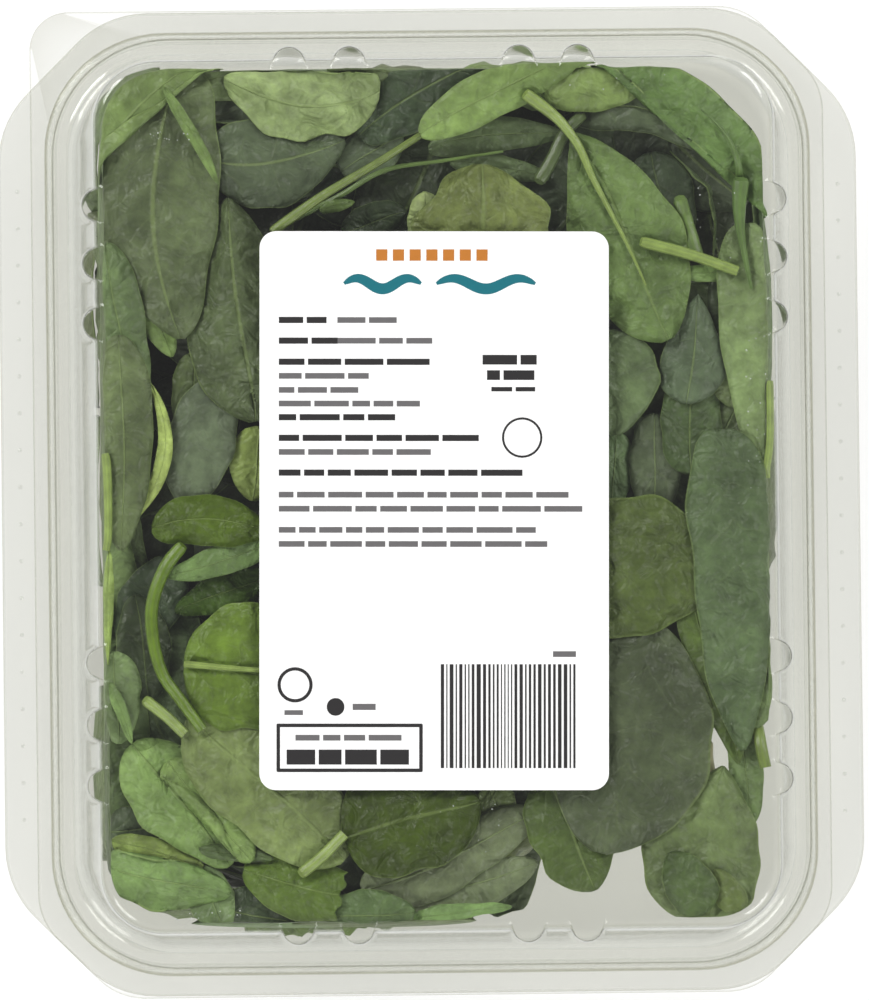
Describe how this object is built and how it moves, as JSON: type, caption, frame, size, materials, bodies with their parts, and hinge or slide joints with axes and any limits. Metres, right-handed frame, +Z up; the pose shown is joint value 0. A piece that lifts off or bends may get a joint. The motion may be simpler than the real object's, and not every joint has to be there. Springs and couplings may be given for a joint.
{
  "type": "clear tub of baby spinach",
  "caption": "Shut clear plastic tub of baby spinach leaves with its own push-fit lid and a bare paper label, lying on its lid with the bottom panel up.",
  "frame": {"origin": "middle of the part's bounding box, on the surface that the lid rests on", "axes": "+X across the tub, +Y along its long side, +Z up from the lid to the labelled bottom panel"},
  "size_m": [0.2, 0.23, 0.0755],
  "materials": {
    "clear_plastic": "gloss",
    "paper": "satin",
    "leaf": "satin"
  },
  "bodies": {
    "root": {"tray": "clear_plastic", "lid": "clear_plastic", "label": "paper", "spinach": "leaf"}
  },
  "joints": []
}
